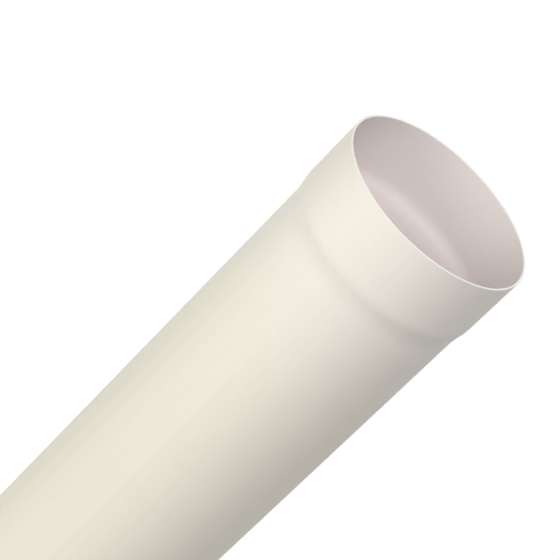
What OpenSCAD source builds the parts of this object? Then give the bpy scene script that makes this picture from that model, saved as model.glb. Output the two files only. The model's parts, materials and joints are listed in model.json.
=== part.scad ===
// Thin-wall PVC sewer pipe with a plain solvent-weld socket formed on one end.
// z = 0 is the cut face of the spigot end, +Z runs along the pipe's axis, and the
// socket's mouth is at the top, so the pipe stands on its spigot end.

/* [Barrel] */
// Outside diameter of the barrel and of its spigot end
barrel_od = 107.1; // [75:0.1:165]
// Wall thickness of the barrel
barrel_wall = 1.9; // [1.5:0.1:4]
// Overall length, with the socket
pipe_length = 610; // [300:10:3050]

/* [Socket] */
// Gap all round between the socket and the spigot that is glued into it
socket_gap = 0.35; // [0.1:0.05:0.6]
// Wall thickness of the socket, thinner than the barrel because it is blown out of it
socket_wall = 1.2; // [1:0.1:4]
// Depth of the socket's straight part, from the mouth to the shoulder
socket_depth = 34; // [25:0.5:80]
// Length of the shoulder that blends the barrel into the socket
shoulder_length = 18; // [8:0.5:30]
// Share of the shoulder's length that its tighter bend takes, next to the socket
upper_share = 0.35; // [0.2:0.05:0.8]

/* [Ends] */
// Rounding of the mouth's two edges
mouth_round = 0.3; // [0.1:0.05:0.45]
// Depth of the spigot's bevel, across the wall
bevel_depth = 0.6; // [0.2:0.1:1]
// Length of the spigot's bevel, along the pipe
bevel_length = 1.5; // [0.5:0.1:5]

/* [Hidden] */
$fn = 180;

// Straight steps in each of the shoulder's two bends, and in each rounded edge
bend_steps = 8;
round_steps = 4;

pvc_cream = [0.93, 0.92, 0.88];

barrel_r = barrel_od / 2;
bore_r = barrel_r - barrel_wall;
socket_r = barrel_r + socket_gap;
bell_r = socket_r + socket_wall;

shoulder_top = pipe_length - socket_depth;
shoulder_foot = shoulder_top - shoulder_length;

// The shoulder is an S of two arcs, drawn along the middle of the wall. It leaves the
// barrel and enters the socket parallel to the axis, and is steepest where they meet.
barrel_mid = barrel_r - barrel_wall / 2;
bell_mid = bell_r - socket_wall / 2;
rise = bell_mid - barrel_mid;
bend_angle = 2 * atan(rise / shoulder_length);
lower_share = 1 - upper_share;
lower_bend_r = lower_share * shoulder_length / sin(bend_angle);
upper_bend_r = upper_share * shoulder_length / sin(bend_angle);

// Wall thickness along the shoulder: 0 is its foot and 1 its top
function wall_at(way) = barrel_wall + (socket_wall - barrel_wall) * way;

// A point on a face of the wall, at right angles to its middle line, which leans out
// by slope degrees there. side is 1 for the outer face and -1 for the inner face.
function face_point(mid_r, z, wall, slope, side) =
    [mid_r + side * wall / 2 * cos(slope), z - side * wall / 2 * sin(slope)];

// Lower arc, bending outwards from the barrel
function lower_bend(side) = [
    for (step = [0 : bend_steps])
        let (slope = bend_angle * step / bend_steps)
        face_point(
            barrel_mid + lower_bend_r * (1 - cos(slope)),
            shoulder_foot + lower_bend_r * sin(slope),
            wall_at(lower_share * step / bend_steps),
            slope, side)
];

// Upper arc, bending back to the socket. Its first point would repeat the lower arc's last.
function upper_bend(side) = [
    for (step = [bend_steps - 1 : -1 : 0])
        let (slope = bend_angle * step / bend_steps)
        face_point(
            bell_mid - upper_bend_r * (1 - cos(slope)),
            shoulder_top - upper_bend_r * sin(slope),
            wall_at(1 - upper_share * step / bend_steps),
            slope, side)
];

function shoulder(side) = concat(lower_bend(side), upper_bend(side));

// Quarter circle of the mouth's rounding, about a centre at radius middle_r
function mouth_edge(middle_r, first_angle) = [
    for (step = [0 : round_steps])
        let (angle = first_angle + 90 * step / round_steps)
        [middle_r + mouth_round * cos(angle), pipe_length - mouth_round + mouth_round * sin(angle)]
];

function backwards(points) = [for (i = [len(points) - 1 : -1 : 0]) points[i]];

// Half section of the wall: up the outside, over the mouth and down the inside
module wall_section() {
    polygon(concat(
        [[barrel_r - bevel_depth, 0], [barrel_r, bevel_length]],
        shoulder(1),
        mouth_edge(bell_r - mouth_round, 0),
        mouth_edge(socket_r + mouth_round, 90),
        backwards(shoulder(-1)),
        [[bore_r, 0]]
    ));
}

module pipe() {
    color(pvc_cream)
        rotate_extrude()
            wall_section();
}

pipe();
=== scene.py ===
"""PVC sewer pipe with a formed socket, standing on its spigot end in a plain pale studio.

The wall is turned from one half section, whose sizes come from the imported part, and has
three finishes: the outside, the inside and the cut ends.
"""

import json
import math

import bmesh
import bpy
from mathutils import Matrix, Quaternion, Vector


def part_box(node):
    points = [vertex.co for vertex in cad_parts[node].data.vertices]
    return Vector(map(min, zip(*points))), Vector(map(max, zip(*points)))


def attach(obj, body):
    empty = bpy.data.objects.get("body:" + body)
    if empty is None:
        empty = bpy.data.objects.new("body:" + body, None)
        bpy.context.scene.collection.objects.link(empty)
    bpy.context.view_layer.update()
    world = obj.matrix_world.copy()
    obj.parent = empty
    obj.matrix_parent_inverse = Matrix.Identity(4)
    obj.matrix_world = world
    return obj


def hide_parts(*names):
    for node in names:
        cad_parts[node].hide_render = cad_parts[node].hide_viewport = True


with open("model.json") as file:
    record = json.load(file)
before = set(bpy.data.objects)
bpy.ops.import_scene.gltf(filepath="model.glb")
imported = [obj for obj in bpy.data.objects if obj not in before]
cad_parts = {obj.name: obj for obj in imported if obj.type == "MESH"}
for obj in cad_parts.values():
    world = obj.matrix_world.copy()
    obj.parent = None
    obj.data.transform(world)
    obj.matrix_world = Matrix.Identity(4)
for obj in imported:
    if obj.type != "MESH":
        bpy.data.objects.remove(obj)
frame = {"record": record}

bl_info = {
    "name": "PVC Sewer Pipe",
    "version": (1, 0, 0),
    "blender": (4, 5, 0),
    "location": "View3D > Sidebar > Pipe",
    "description": "Thin-wall sewer pipe with a blown socket, its finishes and a studio",
    "category": "Object",
}

MM = 0.001
FULL_TURN = 2 * math.pi

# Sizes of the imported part, taken before anything else is made
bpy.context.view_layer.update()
MOUNTS = {mount["name"]: mount["dims"] for mount in frame["record"]["mounts"]}
PIPE_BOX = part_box("pipe")
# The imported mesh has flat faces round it, so its narrower half width is the limit
BELL_RADIUS = min(PIPE_BOX[1].x, PIPE_BOX[1].y)
BARREL_RADIUS = MOUNTS["spigot"]["r_mm"] * MM
BORE_RADIUS = MOUNTS["barrel_bore"]["r_mm"] * MM
SOCKET_RADIUS = MOUNTS["socket"]["r_mm"] * MM
SHOULDER_FOOT = MOUNTS["barrel_bore"]["length_mm"] * MM
BEVEL_LENGTH = SHOULDER_FOOT - MOUNTS["spigot"]["length_mm"] * MM
MOUTH_ROUND = 0.3 * MM
SHOULDER_LENGTH = PIPE_BOX[1].z - MOUTH_ROUND - MOUNTS["socket"]["length_mm"] * MM - SHOULDER_FOOT

# Places of the three finishes on the wall
OUTSIDE, INSIDE, CUT = range(3)
# Refractive index of PVC
PVC_IOR = 1.53
# Height of the fine relief on drawn and on sawn plastic
DRAWN_RELIEF = 0.03 * MM
SAWN_RELIEF = 0.04 * MM
# How far the scuffs reach from each end
SPIGOT_SCUFFS = 15 * MM
MOUTH_SCUFFS = 3 * MM
# How far below the shoulder the cream starts to pale, partly from stretching and partly as painted
# light, the upper pipe drawn lighter as if lit more strongly
PALING = 90 * MM
# How far from each end the wall's waviness has faded in
WAVY_FROM = 30 * MM
WHITE = (1, 1, 1, 1)
# Sockets of a Mix node that mixes colours
MIX_SHARE, MIX_FIRST, MIX_SECOND = 0, 6, 7
MIX_RESULT = 2


# ---------------------------------------------------------------- settings

class PipeSizes(bpy.types.PropertyGroup):
    """Sizes of the pipe's wall"""

    length: bpy.props.FloatProperty(
        name="Length", description="Overall length, with the socket",
        default=PIPE_BOX[1].z, min=0.1, unit="LENGTH")
    barrel_radius: bpy.props.FloatProperty(
        name="Barrel Radius", description="Outside radius of the barrel and its spigot end",
        default=BARREL_RADIUS, min=0.02, unit="LENGTH", precision=5)
    bore_radius: bpy.props.FloatProperty(
        name="Bore Radius", description="Inside radius of the barrel",
        default=BORE_RADIUS, min=0.02, unit="LENGTH", precision=5)
    bell_radius: bpy.props.FloatProperty(
        name="Bell Radius", description="Outside radius of the socket",
        default=BELL_RADIUS, min=0.02, unit="LENGTH", precision=5)
    socket_radius: bpy.props.FloatProperty(
        name="Socket Radius", description="Inside radius of the socket",
        default=SOCKET_RADIUS, min=0.02, unit="LENGTH", precision=5)
    shoulder_foot: bpy.props.FloatProperty(
        name="Shoulder Foot", description="Height at which the barrel starts to widen",
        default=SHOULDER_FOOT, min=0.05, unit="LENGTH")
    shoulder_length: bpy.props.FloatProperty(
        name="Shoulder Length", description="Length of the blend between barrel and socket",
        default=SHOULDER_LENGTH, min=0.002, unit="LENGTH")
    upper_share: bpy.props.FloatProperty(
        name="Upper Share", description="Share of the shoulder that its tighter bend takes",
        default=0.35, min=0.1, max=0.9, subtype="FACTOR")
    mouth_round: bpy.props.FloatProperty(
        name="Mouth Round", description="Rounding of the mouth's two edges",
        default=MOUTH_ROUND, min=0.0001, unit="LENGTH", precision=5)
    bevel_depth: bpy.props.FloatProperty(
        name="Bevel Depth", description="Depth of the spigot's bevel, across the wall",
        default=0.6 * MM, min=0.0001, unit="LENGTH", precision=5)
    bevel_length: bpy.props.FloatProperty(
        name="Bevel Length", description="Length of the spigot's bevel, along the pipe",
        default=BEVEL_LENGTH, min=0.0001, unit="LENGTH", precision=5)
    waviness: bpy.props.FloatProperty(
        name="Waviness", description="Deepest dip of the extruded wall below its true radius",
        default=0.05 * MM, min=0.0, unit="LENGTH", precision=5)
    segments: bpy.props.IntProperty(
        name="Segments", description="Faces round the pipe",
        default=264, min=32, max=720)

    @property
    def shoulder_top(self):
        return self.shoulder_foot + self.shoulder_length


class PipeColours(bpy.types.PropertyGroup):
    """Colours of the pipe's plastic"""

    barrel: bpy.props.FloatVectorProperty(
        name="Barrel", description="Cream plastic of the barrel's outside",
        default=(0.850, 0.822, 0.722), min=0, max=1, subtype="COLOR")
    # Socket colour: partly plastic paled by stretching, partly painted light, paler than the barrel
    # as if the upper pipe were lit more strongly
    socket: bpy.props.FloatVectorProperty(
        name="Socket", description="Paler plastic where the socket was stretched",
        default=(0.860, 0.832, 0.764), min=0, max=1, subtype="COLOR")
    # Bore colour: partly the bore's own surface, partly painted light, paler and pinker than the
    # outside to stand in for light bouncing inside the bore
    inside: bpy.props.FloatVectorProperty(
        name="Inside", description="Greyer plastic of the bore",
        default=(0.914, 0.859, 0.838), min=0, max=1, subtype="COLOR")
    cut: bpy.props.FloatVectorProperty(
        name="Cut Ends", description="Fresh plastic of the rim, the spigot's face and its bevel",
        default=(0.840, 0.824, 0.802), min=0, max=1, subtype="COLOR")


class StudioSettings(bpy.types.PropertyGroup):
    """Camera, lamps and floor"""

    camera_distance: bpy.props.FloatProperty(
        name="Camera Distance", description="From the centre of the mouth to the camera",
        default=1.2175, min=0.2, unit="LENGTH")
    camera_elevation: bpy.props.FloatProperty(
        name="Camera Elevation", description="Angle of the camera above the mouth",
        default=math.radians(25.06), subtype="ANGLE")
    camera_roll: bpy.props.FloatProperty(
        name="Camera Roll", description="Turn of the camera about its line of sight",
        default=math.radians(44.84), subtype="ANGLE")
    aim_left: bpy.props.FloatProperty(
        name="Aim Left", description="How far to the left of the pipe's axis the camera aims",
        default=27.96 * MM, unit="LENGTH")
    aim_down: bpy.props.FloatProperty(
        name="Aim Down", description="How far below the mouth the camera aims",
        default=93.65 * MM, unit="LENGTH")
    lens: bpy.props.FloatProperty(
        name="Lens", description="Focal length, on a sensor 36 mm wide",
        default=161.18, min=10, unit="CAMERA")
    key_colour: bpy.props.FloatVectorProperty(
        name="Key Colour", description="Colour of the softbox over the camera",
        default=(1.0, 0.98, 0.98), min=0, max=1, subtype="COLOR")
    key_power: bpy.props.FloatProperty(
        name="Key Power", description="Power of the softbox over the camera",
        default=45.5, min=0, unit="POWER")
    key_elevation: bpy.props.FloatProperty(
        name="Key Elevation", description="Angle of that softbox above the mouth",
        default=math.radians(60), subtype="ANGLE")
    key_side: bpy.props.FloatProperty(
        name="Key Side", description="Angle of that softbox to the left of the camera",
        default=math.radians(-13.5), subtype="ANGLE")
    fill_colour: bpy.props.FloatVectorProperty(
        name="Fill Colour", description="Colour of the low softbox at the left",
        default=(1.0, 1.0, 0.92), min=0, max=1, subtype="COLOR")
    fill_power: bpy.props.FloatProperty(
        name="Fill Power", description="Power of the low softbox at the left",
        default=24.7, min=0, unit="POWER")
    fill_elevation: bpy.props.FloatProperty(
        name="Fill Elevation", description="Angle of that softbox above the mouth",
        default=math.radians(4), subtype="ANGLE")
    fill_side: bpy.props.FloatProperty(
        name="Fill Side", description="Angle of that softbox to the left of the camera",
        default=math.radians(49), subtype="ANGLE")
    back_colour: bpy.props.FloatVectorProperty(
        name="Back Colour", description="Colour of the low softbox behind the pipe",
        default=(1.0, 0.995, 0.96), min=0, max=1, subtype="COLOR")
    back_power: bpy.props.FloatProperty(
        name="Back Power", description="Power of the low softbox behind the pipe",
        default=30.0, min=0, unit="POWER")
    back_elevation: bpy.props.FloatProperty(
        name="Back Elevation", description="Angle of that softbox above the mouth",
        default=math.radians(5), subtype="ANGLE")
    back_side: bpy.props.FloatProperty(
        name="Back Side", description="Angle of that softbox to the left of the camera",
        default=math.radians(180), subtype="ANGLE")
    lamp_distance: bpy.props.FloatProperty(
        name="Lamp Distance", description="From the centre of the mouth to each softbox",
        default=2.2, min=0.3, unit="LENGTH")
    lamp_width: bpy.props.FloatProperty(
        name="Lamp Width", description="Width of each softbox",
        default=1.4, min=0.05, unit="LENGTH")
    room_colour: bpy.props.FloatVectorProperty(
        name="Room Colour", description="Colour of the light from all round",
        default=(0.98, 0.95, 1.0), min=0, max=1, subtype="COLOR")
    room_strength: bpy.props.FloatProperty(
        name="Room Strength", description="Strength of the light from all round",
        default=0.08, min=0)
    floor_colour: bpy.props.FloatVectorProperty(
        name="Floor Colour", description="Pale studio floor",
        default=(0.73, 0.72, 0.71), min=0, max=1, subtype="COLOR")
    floor_lift: bpy.props.FloatProperty(
        name="Floor Lift", description="White added to the floor as the camera sees it",
        default=0.5, min=0, max=1)
    fade_start: bpy.props.FloatProperty(
        name="Fade Start", description="Distance at which the floor starts to fade to white",
        default=0.3, min=0, unit="LENGTH")
    fade_end: bpy.props.FloatProperty(
        name="Fade End", description="Distance at which the floor is white",
        default=0.9, min=0, unit="LENGTH")


# ---------------------------------------------------------------- shader maths

class Level:
    """One number for each point of a surface. Arithmetic on it adds Math nodes."""

    def __init__(self, finish, socket):
        self.finish = finish
        self.socket = socket

    def __add__(self, other):
        return self.finish.maths("ADD", self, other)

    __radd__ = __add__

    def __sub__(self, other):
        return self.finish.maths("SUBTRACT", self, other)

    def __rsub__(self, other):
        return self.finish.maths("SUBTRACT", other, self)

    def __mul__(self, other):
        return self.finish.maths("MULTIPLY", self, other)

    __rmul__ = __mul__

    def between(self, low, high):
        """0 at low, 1 at high, and a smooth step between them"""
        made = self.finish.node(
            "ShaderNodeMapRange", {"interpolation_type": "SMOOTHSTEP"},
            {"Value": self, "From Min": low, "From Max": high})
        return Level(self.finish, made.outputs["Result"])


class Finish:
    """Builds the node tree of a material or of the world"""

    def __init__(self, owner, output="ShaderNodeOutputMaterial"):
        owner.use_nodes = True
        self.owner = owner
        self.tree = owner.node_tree
        self.tree.nodes.clear()
        self.output = self.node(output)

    def node(self, kind, settings=None, inputs=None):
        """Adds a node: its settings first, then a value or a link for each input"""
        made = self.tree.nodes.new(kind)
        for name, value in (settings or {}).items():
            setattr(made, name, value)
        for name, value in (inputs or {}).items():
            if isinstance(value, Level):
                value = value.socket
            if isinstance(value, bpy.types.NodeSocket):
                self.tree.links.new(value, made.inputs[name])
            else:
                made.inputs[name].default_value = value
        return made

    def maths(self, operation, first, second):
        made = self.node("ShaderNodeMath", {"operation": operation}, {0: first, 1: second})
        return Level(self, made.outputs[0])

    def place(self):
        """Position on the object, in metres"""
        return self.node("ShaderNodeTexCoord").outputs["Object"]

    def height(self):
        """Height above the spigot's face"""
        return Level(self, self.node("ShaderNodeSeparateXYZ", None, {0: self.place()}).outputs["Z"])

    def grain(self, spots, detail=2.0):
        """Noise from 0 to 1, with so many spots to the metre along x, y and z"""
        stretched = self.node(
            "ShaderNodeVectorMath", {"operation": "MULTIPLY"}, {0: self.place(), 1: spots})
        made = self.node(
            "ShaderNodeTexNoise", None,
            {"Vector": stretched.outputs[0], "Scale": 1.0, "Detail": detail})
        return Level(self, made.outputs["Fac"])

    def blend(self, share, first, second):
        """A colour between two colours"""
        made = self.node(
            "ShaderNodeMix", {"data_type": "RGBA"},
            {MIX_SHARE: share, MIX_FIRST: first, MIX_SECOND: second})
        return made.outputs[MIX_RESULT]

    def seen(self):
        """1 for what the camera sees, directly or in gloss or glass"""
        path = self.node("ShaderNodeLightPath")
        camera, gloss, glass = (
            Level(self, path.outputs[name])
            for name in ("Is Camera Ray", "Is Glossy Ray", "Is Transmission Ray"))
        return camera + gloss + glass

    def distance(self):
        """Distance from the object's centre"""
        made = self.node("ShaderNodeVectorMath", {"operation": "LENGTH"}, {0: self.place()})
        return Level(self, made.outputs["Value"])

    def either(self, share, first, second):
        """A mix of two shaders: the first at 0 and the second at 1"""
        return self.node(
            "ShaderNodeMixShader", None, {0: share, 1: first.outputs[0], 2: second.outputs[0]})

    def show(self, shader):
        self.tree.links.new(shader.outputs[0], self.output.inputs["Surface"])

    def plastic(self, colour, roughness, relief, relief_depth):
        """Ends the tree in rigid PVC with a relief of so many metres"""
        bump = self.node(
            "ShaderNodeBump", None,
            {"Strength": 1.0, "Distance": relief_depth, "Height": relief})
        self.show(self.node(
            "ShaderNodeBsdfPrincipled", None,
            {"Base Color": colour, "Roughness": roughness, "IOR": PVC_IOR,
             "Normal": bump.outputs["Normal"]}))


def opaque(colour, shade=0.0):
    """A colour with its alpha, after a share of its light is taken away"""
    return (*(channel * (1 - shade) for channel in colour), 1.0)


# ---------------------------------------------------------------- finishes

def outside_finish(colours, sizes):
    """Satin cream of the outside: drawn lengthwise by the die, paler on the socket,
    partly from stretching and partly as painted light on the more strongly lit upper pipe,
    rubbed here and there by handling and a little scuffed at both ends"""
    finish = Finish(bpy.data.materials.new("pvc_outside"))
    cloud = finish.grain((11, 11, 5))
    die_lines = finish.grain((420, 420, 1.5), detail=4)
    skin = finish.grain((1600, 1600, 1100))
    handled = finish.grain((16, 16, 9)).between(0.50, 0.64)
    rubs = finish.grain((70, 70, 1500), detail=3).between(0.58, 0.72) * handled
    spigot_end = 1 - finish.height().between(0, SPIGOT_SCUFFS)
    mouth_end = finish.height().between(sizes.length - MOUTH_SCUFFS, sizes.length)
    scuffs = finish.grain((150, 150, 500), detail=4).between(0.50, 0.66)
    worn = rubs + scuffs * (spigot_end + mouth_end)
    # Painted light in part: the cream pales from 90 mm below the shoulder up to the socket, partly
    # stretch whitening, partly the upper pipe drawn as more strongly lit
    stretched = finish.height().between(sizes.shoulder_foot - PALING, sizes.shoulder_top)
    plain = finish.blend(stretched, opaque(colours.barrel), opaque(colours.socket))
    dull = finish.blend(
        stretched, opaque(colours.barrel, shade=0.06), opaque(colours.socket, shade=0.05))
    unevenness = cloud * 0.5 + die_lines * 0.4 + skin * 0.1 + worn * 0.12
    finish.plastic(
        finish.blend(unevenness.between(0.35, 0.80), plain, dull),
        0.40 + cloud * 0.08 + die_lines * 0.06 + worn * 0.12,
        skin * 0.35 + die_lines * 0.5 + worn * 0.15,
        DRAWN_RELIEF)
    return finish.owner


def inside_finish(colours, sizes):
    """Greyer bore, its colour paler and pinker than the outside, partly the bore's own surface and
    partly painted light for the light that bounces inside it: the same die lines, and rings left by
    the mandrel in the socket
    """
    finish = Finish(bpy.data.materials.new("pvc_inside"))
    cloud = finish.grain((14, 14, 6))
    die_lines = finish.grain((380, 380, 1.2), detail=4)
    rings = finish.grain((12, 12, 900), detail=3)
    skin = finish.grain((1400, 1400, 1000))
    blown = finish.height().between(sizes.shoulder_foot, sizes.shoulder_top)
    marks = rings * blown * 0.5 + die_lines * (1 - blown)
    unevenness = cloud * 0.5 + marks * 0.5
    # The bore's colour is partly painted light: paler and pinker than the outside plastic, for the
    # light that bounces inside the bore
    finish.plastic(
        finish.blend(
            unevenness.between(0.35, 0.75), opaque(colours.inside),
            opaque(colours.inside, shade=0.05)),
        0.46 + cloud * 0.08 + marks * 0.06,
        marks * 0.6 + skin * 0.4,
        DRAWN_RELIEF)
    return finish.owner


def cut_finish(colours):
    """Chalky ends with the fine scratches of the saw"""
    finish = Finish(bpy.data.materials.new("pvc_cut"))
    teeth = finish.grain((2600, 160, 900), detail=3)
    chalk = finish.grain((900, 900, 900))
    finish.plastic(
        finish.blend(
            teeth * 0.6 + chalk * 0.4, opaque(colours.cut), opaque(colours.cut, shade=0.08)),
        0.55 + teeth * 0.15,
        teeth,
        SAWN_RELIEF)
    return finish.owner


# ---------------------------------------------------------------- the wall

def shoulder_point(sizes, bend, turned, side):
    """A point on one face of the shoulder, whose middle line is an S of two arcs.

    bend is "lower" or "upper", and turned is the share of that bend's angle that the wall
    leans out there. side is 1 for the outer face and -1 for the inner face, each half a
    wall away from the middle at right angles.
    """
    barrel_mid = (sizes.barrel_radius + sizes.bore_radius) / 2
    bell_mid = (sizes.bell_radius + sizes.socket_radius) / 2
    barrel_wall = sizes.barrel_radius - sizes.bore_radius
    bell_wall = sizes.bell_radius - sizes.socket_radius
    steepest = 2 * math.atan((bell_mid - barrel_mid) / sizes.shoulder_length)
    share = sizes.upper_share if bend == "upper" else 1 - sizes.upper_share
    bend_radius = share * sizes.shoulder_length / math.sin(steepest)
    slope = steepest * turned
    out, up = bend_radius * (1 - math.cos(slope)), bend_radius * math.sin(slope)
    if bend == "lower":
        radius, height, way = barrel_mid + out, sizes.shoulder_foot + up, share * turned
    else:
        radius, height, way = bell_mid - out, sizes.shoulder_top - up, 1 - share * turned
    half_wall = side * (barrel_wall + (bell_wall - barrel_wall) * way) / 2
    return radius + half_wall * math.cos(slope), height - half_wall * math.sin(slope)


def face_line(sizes, side, end_height, bend_steps=10, step=12 * MM):
    """One face of the wall, from end_height near the spigot's end up to the mouth's edge"""
    barrel = sizes.barrel_radius if side > 0 else sizes.bore_radius
    bell = sizes.bell_radius if side > 0 else sizes.socket_radius
    mouth = sizes.length - sizes.mouth_round
    line = [(barrel, height) for height in spread(end_height, sizes.shoulder_foot, step)]
    line += [shoulder_point(sizes, "lower", i / bend_steps, side) for i in range(1, bend_steps)]
    line += [shoulder_point(sizes, "upper", 1 - i / bend_steps, side) for i in range(bend_steps)]
    line += [(bell, height) for height in spread(sizes.shoulder_top, mouth, step)]
    return line


def spread(low, high, step, short=0.3 * MM):
    """Heights from low to high, about a step apart, with a short stretch at each end.

    The short stretches keep the shading of the bends and edges next to them off the rest.
    """
    first, last = low + short, high - short
    count = math.ceil((last - first) / step)
    return [low, *(first + (last - first) * i / count for i in range(count + 1)), high]


def mouth_edge(sizes, centre, first_angle, steps=5):
    """Quarter round of the mouth, about a centre at that radius"""
    return [
        (centre + sizes.mouth_round * math.cos(angle),
         sizes.length - sizes.mouth_round + sizes.mouth_round * math.sin(angle))
        for angle in (first_angle + math.pi / 2 * i / steps for i in range(steps + 1))]


def half_section(sizes):
    """The wall's outline as (radius, height, finish of the band that starts there)"""
    spigot_face = [(sizes.bore_radius, 0), (sizes.barrel_radius - sizes.bevel_depth, 0)]
    outer_edge = mouth_edge(sizes, sizes.bell_radius - sizes.mouth_round, 0)
    inner_edge = mouth_edge(sizes, sizes.socket_radius + sizes.mouth_round, math.pi / 2)
    inner_face = face_line(sizes, -1, 0)
    stretches = (
        (CUT, spigot_face),
        (OUTSIDE, face_line(sizes, 1, sizes.bevel_length)[:-1]),
        (CUT, outer_edge + inner_edge[:-1]),
        (INSIDE, inner_face[:0:-1]))
    return [(*point, finish) for finish, points in stretches for point in points]


def turn(sizes, outline):
    """Turns the half section about the pipe's axis into a closed mesh"""
    mesh = bmesh.new()
    rings = []
    for radius, height, _ in outline:
        ring = []
        for i in range(sizes.segments):
            angle = FULL_TURN * i / sizes.segments
            out = radius - dip(sizes, angle, height)
            ring.append(mesh.verts.new((out * math.cos(angle), out * math.sin(angle), height)))
        rings.append(ring)
    for band, (_, _, finish) in enumerate(outline):
        low, high = rings[band], rings[(band + 1) % len(rings)]
        for i in range(sizes.segments):
            j = (i + 1) % sizes.segments
            face = mesh.faces.new((low[i], low[j], high[j], high[i]))
            face.material_index = finish
            face.smooth = True
    return mesh


def dip(sizes, angle, height):
    """How far the extruded wall lies below its true radius, fading out at both ends.

    It has three broad swells and eleven ripples round the pipe, which wander along it.
    """
    swell = math.sin(3 * angle + 4 * height) * math.sin(7 * height + 1)
    ripple = math.sin(11 * angle - 6 * height)
    from_end = min(height, sizes.length - height)
    fade = min(1.0, from_end / WAVY_FROM)
    return sizes.waviness * fade * (0.5 + 0.35 * swell + 0.15 * ripple)


def sharpen(mesh, crisp=math.radians(20)):
    """Marks the edges of the spigot's face and bevel as sharp"""
    for edge in mesh.edges:
        if edge.calc_face_angle() > crisp:
            edge.smooth = False


def add_object(scene, name, data):
    """Adds a mesh, a lamp or a camera to the scene"""
    made = bpy.data.objects.new(name, data)
    scene.collection.objects.link(made)
    return made


class PIPE_OT_wall(bpy.types.Operator):
    """Turn the pipe's wall, with its socket, shoulder, rounded mouth and bevelled spigot"""

    bl_idname = "pipe.wall"
    bl_label = "Pipe Wall"
    bl_options = {"REGISTER", "UNDO"}

    def execute(self, context):
        sizes = context.scene.pipe_sizes
        colours = context.scene.pipe_colours
        turned = turn(sizes, half_section(sizes))
        sharpen(turned)
        data = bpy.data.meshes.new("pipe_wall")
        turned.to_mesh(data)
        turned.free()
        for material in (
                outside_finish(colours, sizes), inside_finish(colours, sizes), cut_finish(colours)):
            data.materials.append(material)
        wall = add_object(context.scene, "pipe_wall", data)
        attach(wall, "root")
        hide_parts("pipe")
        return {"FINISHED"}


# ---------------------------------------------------------------- the studio

def add_floor(scene, sizes, studio, half_width=20.0):
    """Pale floor that keeps the pipe's shadow and fades to white farther out"""
    mesh = bmesh.new()
    bmesh.ops.create_grid(mesh, x_segments=1, y_segments=1, size=half_width)
    data = bpy.data.meshes.new("floor")
    mesh.to_mesh(data)
    mesh.free()
    finish = Finish(bpy.data.materials.new("studio_floor"))
    paint = finish.node(
        "ShaderNodeBsdfDiffuse", None, {"Color": opaque(studio.floor_colour)})
    lift, white = (
        finish.node("ShaderNodeEmission", None, {"Color": WHITE, "Strength": strength})
        for strength in (studio.floor_lift, 1.0))
    near = finish.node(
        "ShaderNodeAddShader", None, {0: paint.outputs[0], 1: lift.outputs[0]})
    away = finish.distance().between(studio.fade_start, studio.fade_end)
    # Only the floor outside the pipe is lifted, and its wall hides the change
    open_floor = finish.distance().between(sizes.bore_radius, sizes.barrel_radius)
    finish.show(finish.either(
        finish.seen() * open_floor, paint, finish.either(away, near, white)))
    data.materials.append(finish.owner)
    add_object(scene, "floor", data)


def add_room(scene, studio):
    """Soft light from all round, which the camera sees as white"""
    scene.world = bpy.data.worlds.new("studio")
    finish = Finish(scene.world, "ShaderNodeOutputWorld")
    light = finish.node(
        "ShaderNodeBackground", None,
        {"Color": opaque(studio.room_colour), "Strength": studio.room_strength})
    white = finish.node("ShaderNodeBackground", None, {"Color": WHITE, "Strength": 1.0})
    finish.show(finish.either(finish.seen(), light, white))


def aim(thing, place, target, roll=0.0):
    """Puts a camera or lamp at a place, looking at a target and turned about its own sight"""
    thing.location = place
    thing.rotation_mode = "QUATERNION"
    level = (target - place).to_track_quat("-Z", "Y")
    thing.rotation_quaternion = level @ Quaternion((0, 0, 1), roll)


def direction(side, elevation):
    """Unit vector, turned to the left of the camera's side and raised above the level"""
    level = math.cos(elevation)
    return Vector((-math.sin(side) * level, -math.cos(side) * level, math.sin(elevation)))


def add_softbox(scene, studio, name, colour, power, target, bearing):
    """Square softbox that faces a target, at the lamps' distance along a bearing from it"""
    lamp = bpy.data.lights.new(name, "AREA")
    lamp.shape = "SQUARE"
    lamp.size = studio.lamp_width
    lamp.energy = power
    lamp.color = colour
    softbox = add_object(scene, name, lamp)
    aim(softbox, target + studio.lamp_distance * bearing, target)


def add_camera(scene, studio, mouth):
    """Camera in front of the pipe, aimed to the left of its axis and below the mouth"""
    view = bpy.data.cameras.new("camera")
    view.lens = studio.lens
    camera = add_object(scene, "camera", view)
    place = mouth + studio.camera_distance * direction(0, studio.camera_elevation)
    target = mouth - Vector((studio.aim_left, 0, studio.aim_down))
    aim(camera, place, target, studio.camera_roll)
    scene.camera = camera


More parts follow.
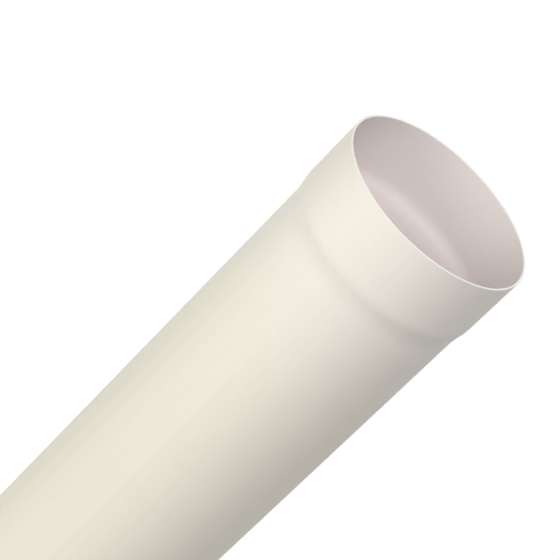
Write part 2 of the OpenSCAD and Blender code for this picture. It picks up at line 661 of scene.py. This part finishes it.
class PIPE_OT_stage(bpy.types.Operator):
    """Set up the pale floor, the soft lights and the camera"""

    bl_idname = "pipe.stage"
    bl_label = "Studio"
    bl_options = {"REGISTER", "UNDO"}

    def execute(self, context):
        scene = context.scene
        sizes = scene.pipe_sizes
        studio = scene.pipe_studio
        mouth = Vector((0, 0, sizes.length))
        add_floor(scene, sizes, studio)
        add_room(scene, studio)
        add_softbox(
            scene, studio, "key", studio.key_colour, studio.key_power,
            mouth, direction(studio.key_side, studio.key_elevation))
        add_softbox(
            scene, studio, "fill", studio.fill_colour, studio.fill_power,
            mouth, direction(studio.fill_side, studio.fill_elevation))
        add_softbox(
            scene, studio, "back", studio.back_colour, studio.back_power,
            mouth, direction(studio.back_side, studio.back_elevation))
        add_camera(scene, studio, mouth)
        scene.view_settings.view_transform = "Standard"
        return {"FINISHED"}


# ---------------------------------------------------------------- the add-on

class PIPE_PT_panel(bpy.types.Panel):
    """The pipe's settings and its two steps"""

    bl_idname = "PIPE_PT_panel"
    bl_label = "Sewer Pipe"
    bl_space_type = "VIEW_3D"
    bl_region_type = "UI"
    bl_category = "Pipe"

    def draw(self, context):
        scene = context.scene
        for title, group in (
                ("Sizes", scene.pipe_sizes), ("Colours", scene.pipe_colours),
                ("Studio", scene.pipe_studio)):
            box = self.layout.box()
            box.label(text=title)
            for name in group.bl_rna.properties.keys():
                if name not in ("rna_type", "name"):
                    box.prop(group, name)
        self.layout.operator(PIPE_OT_wall.bl_idname)
        self.layout.operator(PIPE_OT_stage.bl_idname)


CLASSES = (PipeSizes, PipeColours, StudioSettings, PIPE_OT_wall, PIPE_OT_stage, PIPE_PT_panel)


def register():
    for made in CLASSES:
        bpy.utils.register_class(made)
    bpy.types.Scene.pipe_sizes = bpy.props.PointerProperty(type=PipeSizes)
    bpy.types.Scene.pipe_colours = bpy.props.PointerProperty(type=PipeColours)
    bpy.types.Scene.pipe_studio = bpy.props.PointerProperty(type=StudioSettings)


def unregister():
    del bpy.types.Scene.pipe_studio
    del bpy.types.Scene.pipe_colours
    del bpy.types.Scene.pipe_sizes
    for made in reversed(CLASSES):
        bpy.utils.unregister_class(made)


def main():
    """Makes the studio and the pipe"""
    register()
    bpy.ops.pipe.stage()
    bpy.ops.pipe.wall()


if __name__ == "__main__":
    main()
